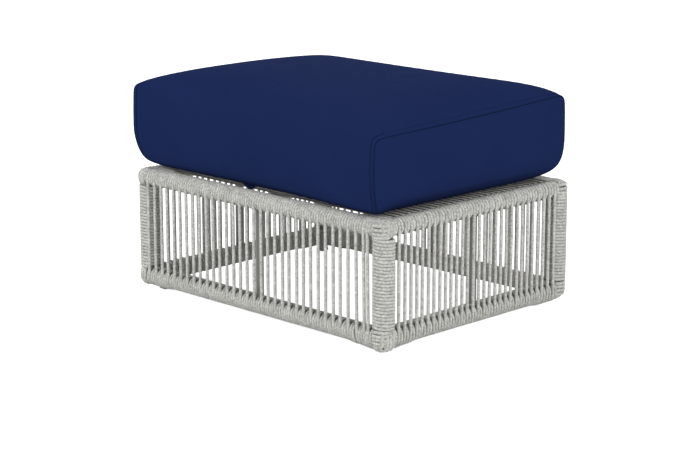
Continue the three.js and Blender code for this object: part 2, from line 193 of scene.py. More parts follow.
def dress(nodes, shader, colour, height, strength, distance, roughness):
    """Gives a shader its colour, its roughness and a bump of height, distance metres deep."""
    bump = nodes.new("ShaderNodeBump", {"Height": height, "Strength": strength, "Distance": distance})
    nodes.feed(shader.inputs["Base Color"], colour)
    nodes.feed(shader.inputs["Normal"], bump.outputs[0])
    shader.inputs["Roughness"].default_value = roughness


def srgb(red, green, blue):
    def linear(value):
        value /= 255
        return value / 12.92 if value <= 0.04045 else ((value + 0.055) / 1.055) ** 2.4
    return (linear(red), linear(green), linear(blue), 1)


def add_stage():
    material = bpy.data.materials.new("floor")
    nodes = empty_nodes(material)
    lit = nodes.new("ShaderNodeBsdfDiffuse", {"Color": (0.8, 0.8, 0.8, 1)})
    paper = nodes.new("ShaderNodeBsdfDiffuse", {"Color": (0.95, 0.95, 0.95, 1)})
    glow = nodes.new("ShaderNodeEmission", {"Color": (1, 1, 1, 1), "Strength": 0.86})
    white = nodes.new("ShaderNodeAddShader", {0: paper.outputs[0], 1: glow.outputs[0]})
    choice = nodes.new("ShaderNodeMixShader", {0: nodes.seen(), 1: lit.outputs[0], 2: white.outputs[0]})
    nodes.new("ShaderNodeOutputMaterial", {0: choice.outputs[0]})
    corners = [(x * FLOOR_REACH, y * FLOOR_REACH, 0) for x, y in ((-1, -1), (1, -1), (1, 1), (-1, 1))]
    floor = mesh_object("floor", corners, [(0, 1, 2, 3)])
    floor.data.materials.append(material)


def add_world():
    world = bpy.data.worlds.new("studio")
    bpy.context.scene.world = world
    nodes = empty_nodes(world)
    strength = nodes.plus(nodes.times(nodes.seen(), 1 - WORLD_LIGHT), WORLD_LIGHT)
    background = nodes.new("ShaderNodeBackground", {"Color": (1, 1, 1, 1), "Strength": strength})
    nodes.new("ShaderNodeOutputWorld", {0: background.outputs[0]})


# Materials

BRAID_PITCH = 0.0036  # metres along the rope from one crossing of the yarns to the next
BRAID_YARNS = 5.0  # round the rope, each way


def rope_material():
    """Braided outdoor rope. UV x is metres along the rope, y goes once round it."""
    material, nodes, shader = new_material("rope_braid")
    uv = nodes.new("ShaderNodeUVMap", uv_map="rope")
    split = nodes.new("ShaderNodeSeparateXYZ", {0: uv.outputs[0]})
    along = nodes.times(split.outputs[0], 1 / BRAID_PITCH)
    around = nodes.times(split.outputs[1], BRAID_YARNS)
    left = nodes.plus(along, around)
    right = nodes.math("SUBTRACT", along, around)
    left_cell = nodes.math("FLOOR", left)
    right_cell = nodes.math("FLOOR", right)
    over = nodes.math("PINGPONG", nodes.plus(left_cell, right_cell), 1)

    def ridge(way):
        return nodes.math("ABSOLUTE", nodes.math("SINE", nodes.times(way, math.pi)))

    upper = nodes.times(ridge(left), over)
    lower = nodes.times(ridge(right), nodes.math("SUBTRACT", 1, over))
    braid = nodes.math("SQRT", nodes.plus(upper, lower))
    position = nodes.position()
    fuzz = nodes.noise(position, 1400.0, 2.0)
    patch = nodes.noise(position, 45.0, 3.0)
    yarn = nodes.plus(nodes.times(braid, 0.75), nodes.times(fuzz, 0.25))
    cell = nodes.new("ShaderNodeCombineXYZ", {0: left_cell, 1: right_cell})
    chance = nodes.new("ShaderNodeTexWhiteNoise", {"Vector": cell.outputs[0]})
    shade = nodes.plus(nodes.times(yarn, 0.75), nodes.times(patch, 0.4))
    shade = nodes.plus(shade, nodes.times(chance.outputs[0], 0.5))
    shade = nodes.math("MAXIMUM", nodes.math("SUBTRACT", shade, 0.32), 0.0)
    shade = nodes.math("MINIMUM", shade, 1.0)
    # The colour is darker where the yarns dip between their crowns: painted shade. The random tone of each
    # yarn cell, the patches and the fuzz are the rope's own.
    colour = nodes.mix(shade, srgb(120, 120, 115), srgb(252, 252, 246))
    # Painted shade: each point's stored shade value darkens the colour towards srgb(48, 48, 44).
    crease = nodes.new("ShaderNodeAttribute", attribute_name="crease")
    colour = nodes.mix(crease.outputs["Fac"], colour, srgb(48, 48, 44))
    dress(nodes, shader, colour, yarn, 0.8, 0.0008, roughness=0.9)
    shader.inputs["Specular IOR Level"].default_value = 0.25
    shader.inputs["Sheen Weight"].default_value = 0.12
    shader.inputs["Sheen Roughness"].default_value = 0.6
    return material


def tube_material():
    """Grey powder coat with a fine orange peel."""
    material, nodes, shader = new_material("tube_powder_coat")
    position = nodes.position()
    peel = nodes.noise(position, 900.0, 2.0)
    colour = nodes.mix(nodes.noise(position, 14.0, 3.0), srgb(150, 151, 147), srgb(166, 167, 163))
    dress(nodes, shader, colour, peel, 0.2, 0.0002, roughness=0.5)
    return material


def glide_material():
    """Grey plastic with a moulded grain."""
    material, nodes, shader = new_material("glide_plastic")
    position = nodes.position()
    grain = nodes.noise(position, 700.0, 2.0)
    colour = nodes.mix(grain, srgb(150, 151, 148), srgb(170, 171, 168))
    dress(nodes, shader, colour, grain, 0.25, 0.0003, roughness=0.6)
    return material


def woven_material(name, dark, light, yarn_width, roughness):
    """Plain weave seen along the three axes, mixed by which way the surface faces."""
    material, nodes, shader = new_material(name)
    geometry = nodes.new("ShaderNodeNewGeometry")
    place = nodes.new("ShaderNodeSeparateXYZ", {0: nodes.new("ShaderNodeTexCoord").outputs["Object"]})
    facing = nodes.new("ShaderNodeSeparateXYZ", {0: geometry.outputs["Normal"]})

    def weave(first, second):
        warp = nodes.math("SINE", nodes.times(place.outputs[first], math.pi / yarn_width))
        weft = nodes.math("SINE", nodes.times(place.outputs[second], math.pi / yarn_width))
        return nodes.plus(nodes.times(nodes.times(warp, weft), 0.5), 0.5)

    weights = [nodes.math("POWER", nodes.math("ABSOLUTE", facing.outputs[i]), 4.0) for i in range(3)]
    total = nodes.plus(nodes.plus(weights[0], weights[1]), weights[2])
    height = nodes.times(weave(1, 2), weights[0])
    height = nodes.plus(height, nodes.times(weave(0, 2), weights[1]))
    height = nodes.plus(height, nodes.times(weave(0, 1), weights[2]))
    height = nodes.math("DIVIDE", height, total)
    slub = nodes.noise(geometry.outputs["Position"], 420.0, 3.0)
    cloud = nodes.noise(geometry.outputs["Position"], 7.0, 3.0)
    tone = nodes.plus(nodes.times(height, 0.35), nodes.times(slub, 0.3))
    tone = nodes.plus(tone, nodes.times(cloud, 0.35))
    # Painted shade: each point's stored shade value darkens the colour towards srgb(6, 9, 24), in the seams,
    # along the stitched lines and on the lower edge.
    crease = nodes.new("ShaderNodeAttribute", attribute_name="crease")
    shaded = nodes.times(crease.outputs["Fac"], 0.9)
    colour = nodes.mix(shaded, nodes.mix(tone, dark, light), srgb(6, 9, 24))
    dress(nodes, shader, colour, height, 0.35, 0.0002, roughness)
    shader.inputs["Specular IOR Level"].default_value = 0.015
    return material


def foam_material():
    material, nodes, shader = new_material("foam_cells")
    position = nodes.position()
    cells = nodes.new("ShaderNodeTexVoronoi", {"Vector": position, "Scale": 600.0}).outputs[0]
    colour = nodes.mix(cells, srgb(222, 214, 192), srgb(240, 234, 216))
    dress(nodes, shader, colour, cells, 0.5, 0.0005, roughness=1.0)
    return material


# Mesh making

def unit(vectors):
    return vectors / np.linalg.norm(vectors, axis=-1, keepdims=True)


def running_length(points):
    """How far along a line of points each of them is, or each row of a grid of points."""
    steps = np.linalg.norm(np.diff(points, axis=0), axis=-1)
    return np.concatenate([[0], np.cumsum(steps.reshape(len(steps), -1).mean(1))])


def circle(count):
    return np.arange(count) * (2 * math.pi / count)


def grid_faces(rows, columns, first=0):
    """Faces between rings of points. The points are numbered from first."""
    faces = []
    for low in range(first, first + (rows - 1) * columns, columns):
        high = low + columns
        for i in range(columns):
            following = (i + 1) % columns
            faces.append((low + i, low + following, high + following, high + i))
    return faces


def bar_faces(rows, columns, first=0):
    """Faces between rings of points, and one over each end."""
    last = first + (rows - 1) * columns
    ends = [tuple(range(first, first + columns))[::-1], tuple(range(last, last + columns))]
    return grid_faces(rows, columns, first) + ends


def finished(name, points, faces, material, body, slot, *replaced, smooth=True):
    """Makes a piece that rides on a body and stands for the replaced nodes, if any."""
    piece = mesh_object(name, points, faces)
    if smooth:
        piece.data.shade_smooth()
    piece.data.materials.append(material)
    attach(piece, body)
    if replaced:
        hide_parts(*replaced)
    return piece


def set_painted_shade(piece, values):
    """Stores the painted shade of each point, from 0 to 1, which darkens the rope and the woven materials.
    """
    crease = piece.data.attributes.new("crease", "FLOAT", "POINT")
    crease.data.foreach_set("value", values.astype(np.float32))


class Rope:
    """Collects swept lengths of rope into one mesh with a UV map named rope."""

    def __init__(self):
        self.points = []
        self.faces = []
        self.uvs = []
        self.painted_shades = []
        self.count = 0

    def add(self, path, normals, width=ROPE, thickness=ROPE, crease=TURN_PAINTED_SHADE, sides=8):
        """Sweeps an oval along path: thickness lies along normals, width across them. Width and the
        painted shade on the rope's sides, where it meets the rope beside it, may differ from point to point."""
        width = np.broadcast_to(width, len(path))
        path = np.asarray(path, float)
        tangents = unit(np.gradient(path, axis=0))
        normals = np.asarray(normals, float)
        normals = unit(normals - tangents * (normals * tangents).sum(-1, keepdims=True))
        across = np.cross(tangents, normals)
        turn = circle(sides)
        # Painted shade, strongest on the two sides of the oval where it meets the rope beside it.
        shade = np.outer(np.broadcast_to(crease, len(path)), np.abs(np.sin(turn)) ** 3)
        self.painted_shades.append(shade.reshape(-1))
        rings = (path[:, None, :]
                 + normals[:, None, :] * (np.cos(turn) * thickness / 2)[None, :, None]
                 + across[:, None, :] * (np.sin(turn) * width[:, None] / 2)[..., None])
        length = running_length(path) + rng.uniform(0, 1)
        self.faces += bar_faces(len(path), sides, self.count)
        self.points.append(rings.reshape(-1, 3))
        self.count += len(path) * sides
        for here, there in zip(length[:-1], length[1:]):
            for side in range(sides):
                low, high = side / sides, (side + 1) / sides
                self.uvs += [(here, low), (here, high), (there, high), (there, low)]
        self.uvs += [(length[0], side / sides) for side in reversed(range(sides))]
        self.uvs += [(length[-1], side / sides) for side in range(sides)]

    def finish(self, name, material, *replaced):
        piece = finished(name, np.concatenate(self.points), self.faces, material, "frame", "rope", *replaced)
        layer = piece.data.uv_layers.new(name="rope")
        layer.data.foreach_set("uv", np.asarray(self.uvs, np.float32).reshape(-1))
        set_painted_shade(piece, np.concatenate(self.painted_shades))


class Side:
    """One side of the frame: s runs to the right as seen from outside, o outwards from the rail axis."""

    def __init__(self, name, along, outward, distance, half, long_side):
        self.name = name
        self.along = np.array(along, float)
        self.outward = np.array(outward, float)
        self.distance = distance
        self.half = half
        self.long_side = long_side
        self.each_way = LONG_EACH_WAY if long_side else SHORT_EACH_WAY
        self.step = LONG_STEP if long_side else SHORT_STEP
        self.turn = LONG_TURN if long_side else SHORT_TURN
        pitch = LONG_PITCH if long_side else SHORT_PITCH
        self.positions = {}
        for k in self.strands():  # slipped a little from even spacing on each half of the side
            slip = np.interp(k, (-1, 1), SLIPS[name]) * (1 - abs(k / self.each_way) ** 6)
            self.positions[k] = k * pitch + slip + rng.uniform(-STRAND_SCATTER, STRAND_SCATTER)
        self.leans = {k: rng.uniform(-STRAND_SCATTER, STRAND_SCATTER) for k in self.strands()}
        if long_side:
            self.positions[self.each_way] = LAST_STRAND
            self.positions[-self.each_way] = FIRST_STRAND
            for k in range(3):
                self.leans[self.each_way - k] = END_LEAN
        self.positions.update(SHIFTED.get(name, {}))
        self.last_turn = self.positions[self.each_way] + self.step * (2 if long_side else 1)
        self.first_turn = self.positions[-self.each_way] - self.step

    def strands(self):
        return range(-self.each_way, self.each_way + 1)

    def hang(self, s):
        """How far the turns on the bottom rail hang down from it, most of all near the corners."""
        loose = 0.0020 + 0.0040 * s if self.long_side else 0.0038
        from_post = self.half - np.abs(s)
        near = np.clip((0.090 - from_post) / 0.030, 0, 1)
        front_corner = {"front": 1, "right": -1}.get(self.name, 0) * s > 0
        corner = np.clip((0.050 - from_post) / 0.035, 0, 1) * front_corner
        return loose + HANG_BY_POST * near ** 2 * (3 - 2 * near) + HANG_IN_CORNER * corner

    def turns_after(self, k):
        """How many turns fill the rail between strand k and the next, and how far apart they are."""
        if k == self.each_way:
            return (2 if self.long_side else 1), self.step
        gap = self.positions[k + 1] - self.positions[k]
        count = max(1, round(gap / self.step) - 1)
        return count, gap / (count + 1)

    def place(self, s, o, z):
        s, o, z = np.broadcast_arrays(s, o, z)
        point = s[..., None] * self.along + (o + self.distance)[..., None] * self.outward
        return np.concatenate([point, z[..., None]], -1)

    def direction(self, o, z):
        o, z = np.broadcast_arrays(o, z)
        return np.concatenate([o[..., None] * self.outward, z[..., None]], -1)


# How far the strands of each half of a side have slipped, and the places of those out of step
SLIPS = {"front": (0, 0), "right": (0.0014, 0.0014), "back": (0.0008, -0.0050), "left": (-0.0074, -0.0074)}
SHIFTED = {"front": {-15: -0.3018, -14: -0.2819}, "right": {14: 0.2318, 13: 0.2144}}

SIDES = [
    Side("front", (1, 0), (0, -1), POST_Y, POST_X, True),
    Side("right", (0, 1), (1, 0), POST_X, POST_Y, False),
    Side("back", (-1, 0), (0, 1), POST_Y, POST_X, True),
    Side("left", (0, -1), (-1, 0), POST_X, POST_Y, False),
]

ARC_STEP = math.radians(15)


def arc_angles(first, last):
    """Angles in radians, in even steps from first to last, which are in degrees."""
    first, last = math.radians(first), math.radians(last)
    return np.linspace(first, last, max(2, int(abs(last - first) / ARC_STEP)) + 1)


def rail_arc(side, rail_z, start_s, advance, first, last, sink=0.0):
    """Points and normals of rope round a rail, from angle first to last in degrees (0 outwards, 90 up).
    advance is the way along the rail in one turn, and sink is how far it comes in past the rail's top."""
    angle = arc_angles(first, last)
    s = start_s + advance * np.abs(angle - angle[0]) / (2 * math.pi)
    reach = TURN_R + rng.uniform(-0.00012, 0.00012) - sink * np.clip((np.degrees(angle) - 70) / 35, 0, 1)
    rise = np.sin(angle)
    slack = side.hang(s) if rail_z == BOTTOM_Z else 0
    height = reach * rise + np.where(rise < 0, slack * rise, 0)
    points = side.place(s, reach * np.cos(angle), rail_z + height)
    return points, side.direction(np.cos(angle), rise)


def joined_path(*runs):
    return np.concatenate([run[0] for run in runs]), np.concatenate([run[1] for run in runs])


def strand_run(side, s, lean, low, high):
    heights = np.linspace(low, high, 9)[1:-1]
    share = (heights - low) / (high - low)
    bow = rng.uniform(-0.0005, 0.0005) * np.sin(share * math.pi)
    points = side.place(s + lean * (1 - share) + bow, TURN_R + 0 * heights, heights)
    return points, side.direction(np.ones_like(heights), np.zeros_like(heights))


def add_panels(material):
    """The strands of each side with the turns that each makes on the bottom rail and, on the long
    sides, on the top rail. The strands of the short sides run on over the top rail into the deck."""
    for side in SIDES:
        rope = Rope()
        for k in side.strands():
            s = side.positions[k]
            lean = side.leans[k]
            fillers, step = side.turns_after(k)
            last = 360 * (fillers + 1) - 100
            points, normals = rail_arc(side, BOTTOM_Z, s + lean, step, 0, -last)
            below = points[::-1], normals[::-1]
            hang = strand_run(side, s, lean, BOTTOM_Z, TOP_Z)
            if side.long_side:
                above = rail_arc(side, TOP_Z, s, step, 0, last)
            else:
                above = rail_arc(side, TOP_Z, s, 0, 0, 90)
            # Painted shade on the turns round the rails, none on the hanging strand.
            crease = np.repeat([TURN_PAINTED_SHADE, 0, TURN_PAINTED_SHADE], [len(run[0]) for run in (below, hang, above)])
            rope.add(*joined_path(below, hang, above), crease=crease)
        for rail_z, level in ((BOTTOM_Z, -1), (TOP_Z, 1)):
            if side.long_side or level < 0:
                turn = rail_arc(side, rail_z, side.first_turn, 0, TURN_FROM * level, TURN_TO * level)
                rope.add(*turn, **side.turn)
        replaced = ["rope_panel_" + side.name]
        if side.long_side:
            replaced.append("rope_top_turns_" + side.name)
        rope.finish("rope_strung_" + side.name, material, *replaced)


def add_deck(material):
    """Deck ropes run on from the strands of the short sides, and single turns fill between them."""
    rope = Rope()
    right, left = SIDES[1], SIDES[3]
    x = np.array([-1, -0.96, -0.91, -0.86, -0.8, -0.6, -0.3, 0, 0.3, 0.6, 0.8, 0.86, 0.91, 0.96, 1]) * POST_X
    drawn = np.clip((0.92 - np.abs(x) / POST_X) / 0.16, 0, 1)
    for k in right.strands():
        end_y = np.where(x > 0, right.positions[k], -left.positions[-k])
        deck_y = k * DECK_PITCH + rng.uniform(-0.0003, 0.0003)
        y = end_y + (deck_y - end_y) * drawn
        sag = DECK_SAG * (1 - (x / POST_X) ** 2)
        normals = np.tile([0, 0, 1.0], (len(x), 1))
        rope.add(np.stack([x, y, TOP_Z + TURN_R - sag], -1), normals, crease=DECK_PAINTED_SHADE)
    for x_sign in (-1, 1):
        for y_sign in (-1, 1):  # two short lengths close the slot beside the outermost rope at each corner
            for place in (0.2354, 0.2412):
                x = x_sign * np.array([0.264, 0.269, 0.277, 0.300, POST_X])
                y = y_sign * np.array([place + 0.0006, place + 0.0003, place, place, place])
                z = TOP_Z + TURN_R - np.array([0.0080, 0.0030, 0.0014, 0.0006, 0.0002])
                # Painted shade on the short lengths that close the slot.
                rope.add(np.stack([x, y, z], -1), np.tile([0, 0, 1.0], (5, 1)), crease=0.7)
    for side in (right, left):
        between = [(side.positions[k] + side.positions[k + 1]) / 2 for k in list(side.strands())[:-1]]
        for s in [side.first_turn, *between, side.last_turn]:
            s = s + rng.uniform(-0.0003, 0.0003)
            path = rail_arc(side, TOP_Z, s, 0, TURN_FROM, TURN_TO, sink=TURN_SINK)
            angle = np.linspace(TURN_FROM, TURN_TO, len(path[0]))
            pulled = np.clip((angle - 66) / 30, 0, 1)  # drawn tight between the deck ropes
            size = {**side.turn, "width": side.turn["width"] - TURN_PULL * pulled}
            # Painted shade, more where the turns are drawn tight between the deck ropes.
            rope.add(*path, **size, crease=TURN_PAINTED_SHADE + 0.7 * pulled)
    rope.finish("rope_deck_strung", material, "rope_deck")


class Corner:
    """A corner post between a side on its left and a side on its right, seen from outside."""

    def __init__(self, left, right):
        self.left = left
        self.right = right
        self.axis = left.along * left.half + left.outward * left.distance
        self.depth = 0.0100 if left.name == "front" else 0.0034  # of the turns under the post
        self.base = math.atan2(left.outward[1], left.outward[0])

    def level_arc(self, first, last, low, high, radius):
        """Points and normals round the post, from angle first to last in degrees (0 faces the left
        side, 90 the right side)."""
        angle = arc_angles(first, last)
        places = np.linspace(angle[0], angle[-1], np.size(radius))
        radius = np.interp(angle, places, np.atleast_1d(radius))
        normals = np.stack([np.cos(self.base + angle), np.sin(self.base + angle), 0 * angle], -1)
        points = normals * radius[:, None]
        points[:, :2] += self.axis + WINDING_SHIFT
        points[:, 2] = np.linspace(low, high, len(angle))
        return points, normals

    def level_turn(self, rope, z, radius):
        """A turn that comes out from under the left rail's turns, crosses the front of the post and
        goes under the right rail's turns."""
        s = self.left.half + np.array([-0.0125, -0.0100, -0.006])
        o = np.array([0.011, 0.0155, radius])
        tilt = rng.uniform(-0.0006, 0.0006)
        start = self.left.place(s, o, z - tilt), self.left.direction(np.ones(3), np.zeros(3))
        arc = self.level_arc(0, 88, z - tilt, z + tilt, (radius, radius, 0.0150))
        rope.add(*joined_path(start, arc), **LEVEL_TURN)

    def end_arc(self, side, s, rail_z, way, first, last, out, reach, square):
        """Half a turn over the end of the post: out and reach are its half sizes, and square is less
        than 1 where it is fuller than an oval."""
        angle = np.radians(np.linspace(first, last, 14))
        o = out * np.sign(np.cos(angle)) * np.abs(np.cos(angle)) ** square
        reach = np.where(angle > 0, reach, UNDER_REACH)
        z = rail_z + way * reach * np.sign(np.sin(angle)) * np.abs(np.sin(angle)) ** square
        lean = 0.0012 * np.clip(np.sin(angle), 0, 1) * (1 if side is self.left and way > 0 else 0)
        return side.place(s + lean, o, z), side.direction(np.cos(angle), way * np.sin(angle))

    def cover(self, rope, rail_z, way):
        """The turns over the end of the post, rounded off like an elbow: way is 1 at the top rails and
        -1 at the bottom ones."""
        left, right = self.left, self.right
        power = 2.0 if way > 0 else 1.9

        def rounded(past):
            return (1 - min(1, abs(past) / CORNER_R) ** power) ** (1 / power)

        for z in TOP_LEVELS if way > 0 else BOTTOM_LEVELS:
            self.level_turn(rope, rail_z + z, CORNER_R * rounded(max(way * z, 0) * 0.8))
        full = TURN_R + (0.0004 if way > 0 else self.depth)
        square = 0.85 if way > 0 else 0.7

        def part_turn(side, s, from_axis, first, last, out):
            """from_axis is how far the turn is from the axis of the post, below 0 past it."""
            if from_axis < -CORNER_END:
                return
            size = rounded(min(from_axis, 0))
            slack = 0.0004 if way > 0 else side.hang(s)
            reach = full + (TURN_R + slack - full) * min(1, max(0, from_axis) / 0.02)
            arc = self.end_arc(side, s, rail_z, way, first, last, out * size, reach * size, square)
            rope.add(*arc, **side.turn)

        for i in range(4):
            s = left.last_turn + left.step * (1 + i)
            part_turn(left, s, left.half - s, 20, 172, TURN_R + 0.0008)
        for i in range(6):
            s = right.first_turn - right.step * (1 + i)
            past = s + right.half
            out = TURN_R + 0.001 + 0.0018 * min(1, max(0, 0.016 - past) / 0.016)
            part_turn(right, s, past, 100, -78, out)


CORNER_R = 0.0190
CORNER_END = 0.0150  # no part turn lies further than this past the axis of the post
UNDER_REACH = 0.0185  # of a part turn on the inner side of its rail
WINDING_SHIFT = np.array([0.0013, 0.0013])
TOP_LEVELS = (0.0092, 0.0010, -0.0066, -0.0134)
BOTTOM_LEVELS = (-0.0090, -0.0016, 0.0060, 0.0134)


def add_windings(material):
    """Level turns round the corner posts between the rails, and part turns over their ends."""
    for index, name in enumerate(("front_right", "back_right", "back_left", "front_left")):
        corner = Corner(SIDES[index], SIDES[(index + 1) % 4])
        rope = Rope()
        low, high = BOTTOM_Z + 0.0198, TOP_Z - 0.0182
        turns = round((high - low) / POST_PITCH) + 0.5
        winding = corner.level_arc(-60, turns * 360 - 60, high, low, CORNER_R)
        rope.add(*winding, **WINDING)
        corner.cover(rope, TOP_Z, 1)
        corner.cover(rope, BOTTOM_Z, -1)
        rope.finish("rope_post_" + name, material, "rope_winding_" + name)


BAR_SIDES = 40


def add_round_bar(name, replaced, axis, material):
    """A bar with a round section in the place of a CAD tube that lies along an axis (0, 1 or 2)."""
    low, high = map(np.array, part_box(replaced))
    centre = (low + high) / 2
    first, second = [i for i in range(3) if i != axis]
    radius = max(high[first] - low[first], high[second] - low[second]) / 2
    if axis == 1:
        radius = (high[2] - low[2]) / 2
    turn = circle(BAR_SIDES)
    rings = []
    for place in np.linspace(low[axis], high[axis], 5):
        ring = np.tile(centre, (BAR_SIDES, 1))
        ring[:, first] += radius * np.cos(turn)
        ring[:, second] += radius * np.sin(turn) * (-1 if axis == 1 else 1)
        ring[:, axis] = place
        rings.append(ring)
    faces = bar_faces(len(rings), BAR_SIDES)
    finished(name, np.concatenate(rings), faces, material, "frame", "tube", replaced)


def rounded_square(half, corner, steps=6):
    """Points of a square outline with round corners, anticlockwise."""
    points = []
    for quarter, (x, y) in enumerate(((1, 1), (-1, 1), (-1, -1), (1, -1))):
        for step in range(steps + 1):
            angle = math.radians(90 * (quarter + step / steps))
            points.append((x * (half - corner) + corner * math.cos(angle),
                           y * (half - corner) + corner * math.sin(angle)))
    return np.array(points)


def add_feet(tube, glide):
    for place in ("front_left", "front_right", "back_left", "back_right"):
        for kind, material in (("tube", tube), ("glide", glide)):
            node = "foot_" + kind + "_" + place
            low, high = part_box(node)
            centre = ((low.x + high.x) / 2, (low.y + high.y) / 2)
            half = (high.x - low.x) / 2
            if kind == "tube":
                levels = [(low.z, 0.0004), (low.z + 0.0004, 0), (high.z - 0.0006, 0), (high.z, 0.0006)]
                corner = 0.0022
            else:
                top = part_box("foot_tube_" + place)[0].z - 0.0002
                levels = [(0, 0.0022), (0.0005, 0.0012), (0.0015, 0.0004), (0.0026, 0),
                          (top - 0.0006, 0), (top, 0.0006)]
                corner = 0.0032
            outline = rounded_square(half, corner)
            rings = [np.column_stack([outline * (1 - inset / half) + centre, np.full(len(outline), z)])
                     for z, inset in levels]
            faces = bar_faces(len(rings), len(outline))
            piece = finished("leg_" + kind + "_" + place, np.concatenate(rings), faces, material,
                             "frame", kind, node)
            edges = piece.modifiers.new("edges", "EDGE_SPLIT")
            edges.split_angle = math.radians(40)


# Cushion

CUSHION_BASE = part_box("cushion_cover")[0].z
HALF_LENGTH = 0.3524  # between the end seams
HALF_DEPTH = 0.2721
EDGE_HEIGHT = 0.1681
END_SWELL = 0.015
END_CROWN, TOP_CROWN = -0.0030, 0.0115
MID_RISE = 0.0281
FULLNESS = 7.4
WAIST = 0.0159
END_SQUARENESS, MID_SQUARENESS, LOWER_SQUARENESS = 19, 5.5, 8.7
END_LIFT = 0.0063
SIDE_TUCK, LEFT_TUCK, RIGHT_TUCK = 0.0197, 0.0280, 0.0290
SLOPE_X, SLOPE_Y, TWIST = -0.0089, 0.0070, 0.0810
FRONT_DROOP = 0.0101
CORNER_SWELL = 0.0028  # of the upright edges at the end seams, at half height
SHIFT_X, SHIFT_Y, SPIN = -0.0030, -0.0068, -0.0142
CLEARANCE = 0.0192  # kept from the axes of the top rails


def cover_section(along, turn, inset):
    """Points of the long panel: along from -1 to 1 between the end seams, turn round the section."""
    along, turn = np.broadcast_arrays(np.asarray(along, float), np.asarray(turn, float))
    middle = 1 - np.abs(along) ** FULLNESS
    upper = np.sin(turn) >= 0
    squareness = np.where(upper, END_SQUARENESS + (MID_SQUARENESS - END_SQUARENESS) * middle,
                          LOWER_SQUARENESS)
    cosine, sine = np.abs(np.cos(turn)), np.abs(np.sin(turn))
    reach = (cosine ** squareness + sine ** squareness) ** (-1 / squareness)
    across, rise = reach * cosine, reach * sine
    low = np.where(upper, 0, rise ** 2)
    inset = inset * middle
    half_depth = HALF_DEPTH - inset - WAIST * (1 - along ** 2) * (1 - 0.15 * low)
    half_depth = half_depth - SIDE_TUCK * low * (0.8 + 0.2 * along ** 4)
    half_depth = half_depth + CORNER_SWELL * (1 - rise ** 2) * along ** 8
    half_height = EDGE_HEIGHT / 2
    y = np.sign(np.cos(turn)) * half_depth * across
    crown = (END_CROWN + (TOP_CROWN - END_CROWN) * middle) * (1 - across ** 2)
    over = (half_height - inset + MID_RISE * middle) * rise + crown * rise ** 2
    under = -half_height * rise + END_LIFT * np.abs(along) ** 12 * rise
    z = half_height + np.where(upper, over, under)
    tuck = np.where(along < 0, LEFT_TUCK * rise ** 2.5, RIGHT_TUCK * rise ** 4.5)
    tuck = tuck * np.abs(along) ** 6 * np.where(upper, 0, 1)
    return np.stack([along * HALF_LENGTH - np.sign(along) * tuck, y, z], -1)


def settle(points):
    """Puts the cushion on the deck: tilted and turned a little, as it lies, and clear of the rope."""
    x, y, z = points[..., 0], points[..., 1], points[..., 2]
    z = z * (1 + (SLOPE_X * x + SLOPE_Y * y + TWIST * x * y) / EDGE_HEIGHT)
    hanging = np.clip(1 - z / 0.06, 0, 1) * np.clip((-y - 0.20) / 0.07, 0, 1)
    z = z - FRONT_DROOP * hanging
    turned_x = x * math.cos(SPIN) - y * math.sin(SPIN) + SHIFT_X
    turned_y = x * math.sin(SPIN) + y * math.cos(SPIN) + SHIFT_Y
    past = np.hypot(np.maximum(np.abs(turned_x) - POST_X, 0), np.maximum(np.abs(turned_y) - POST_Y, 0))
    past = np.minimum(past, CLEARANCE)
    rope_top = np.sqrt(CLEARANCE ** 2 - past ** 2) - CLEARANCE
    return np.stack([turned_x, turned_y, np.maximum(z, rope_top) + CUSHION_BASE], -1)


def section_turns(columns):
    """Turn angles that space points evenly round the section at an end seam, from the back."""
    turn = np.linspace(0, 2 * math.pi, 20001)
    length = running_length(cover_section(1.0, turn, 0)[:, 1:])
    return np.interp(np.arange(columns) / columns * length[-1], length, turn)


def cover_rings(stations, shares, turn, inset):
    """Rings from the middle of the left end panel along the long panel to the right end panel."""
    ends = []
    for sign in (-1, 1):
        seam = cover_section(sign, turn, 0)
        centre = np.array([sign * HALF_LENGTH, 0, EDGE_HEIGHT / 2])
        rings = []
        for share in shares:
            ring = centre + (seam - centre) * (share ** 3, share, share)
            ring[:, 0] += sign * (END_SWELL - inset) * (1 - share ** 4)
            rings.append(ring)
        ends.append(rings)
    body = [cover_section(along, turn, inset) for along in stations]
    return np.stack(ends[0] + body + ends[1][::-1])


def closed_faces(rows, columns):
    """Faces of rings of points with a middle point at each end, which come last."""
    faces = grid_faces(rows, columns)
    first_end = rows * columns
    last_row = (rows - 1) * columns
    for i in range(columns):
        following = (i + 1) % columns
        faces.append((first_end, following, i))
        faces.append((first_end + 1, last_row + i, last_row + following))
    return faces


def with_middles(rings):
    ends = np.stack([rings[0].mean(0), rings[-1].mean(0)])
    return np.concatenate([rings.reshape(-1, 3), ends])


CLOTH = {"quality": 6, "mass": 0.03, "tension_stiffness": 20, "compression_stiffness": 20,
         "shear_stiffness": 8, "bending_stiffness": 2, "use_pressure": True,
         "uniform_pressure_force": 4, "vertex_group_mass": "held", "pin_stiffness": 1}
CLOTH_FRAMES = 20
PANEL_HOLD, END_HOLD = 0.2, 0.6  # how firmly the long panel and the end panels are kept in place


